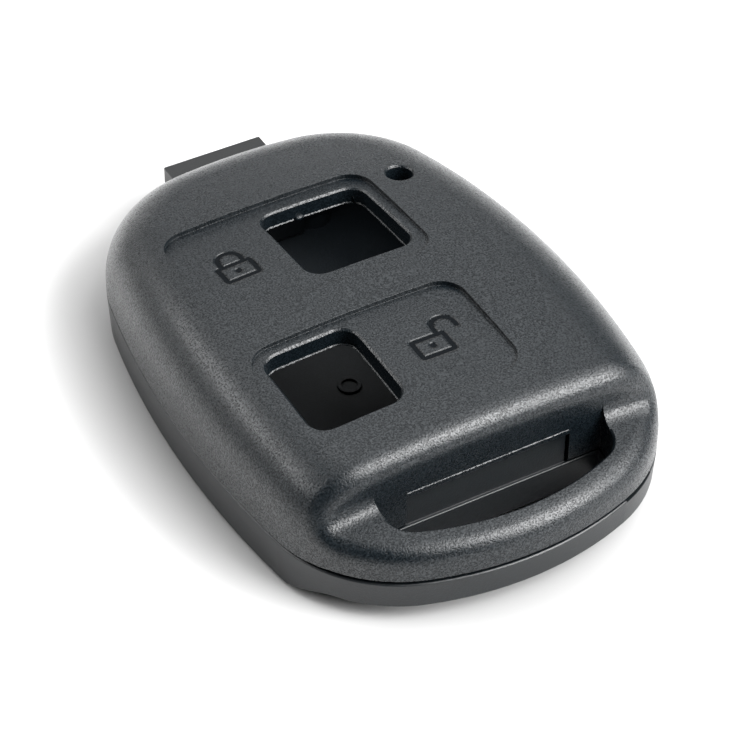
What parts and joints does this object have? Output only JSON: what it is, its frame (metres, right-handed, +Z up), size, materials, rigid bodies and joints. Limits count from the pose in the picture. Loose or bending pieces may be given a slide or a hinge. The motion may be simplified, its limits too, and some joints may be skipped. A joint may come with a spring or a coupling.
{
  "type": "key fob shell",
  "caption": "Empty remote key shell: crowned front casing with button windows and an indicator hole, shallow rear casing, key ring slot and a blade socket.",
  "frame": {"origin": "centre of the shell's bounding box seen from above, on the flat back it lies on", "axes": "+Z up through the button windows, +Y towards the blade end, +X to the right seen from above with the blade end at the top"},
  "size_m": [0.042, 0.0644, 0.0151],
  "materials": {
    "front_plastic": "fine spark-eroded grain, dark grey",
    "rear_plastic": "smoother satin, dark grey",
    "socket_plastic": "satin, near black",
    "spring_steel": "rolled spring steel",
    "screw_steel": "zinc plated"
  },
  "bodies": {
    "rear": {"rear_casing": "rear_plastic", "blade_socket": "socket_plastic", "blade_pin": "spring_steel", "socket_screws": "screw_steel"},
    "front": {"front_casing": "front_plastic"},
    "screw": {"case_screw": "screw_steel"}
  },
  "joints": [
    {"name": "front_lift", "type": "slide", "parent": "rear", "child": "front", "axis": [0, 0, 1], "range_m": [0, 0.02]},
    {"name": "screw_draw", "type": "slide", "parent": "rear", "child": "screw", "axis": [0, 0, -1], "range_m": [0, 0.012]}
  ]
}
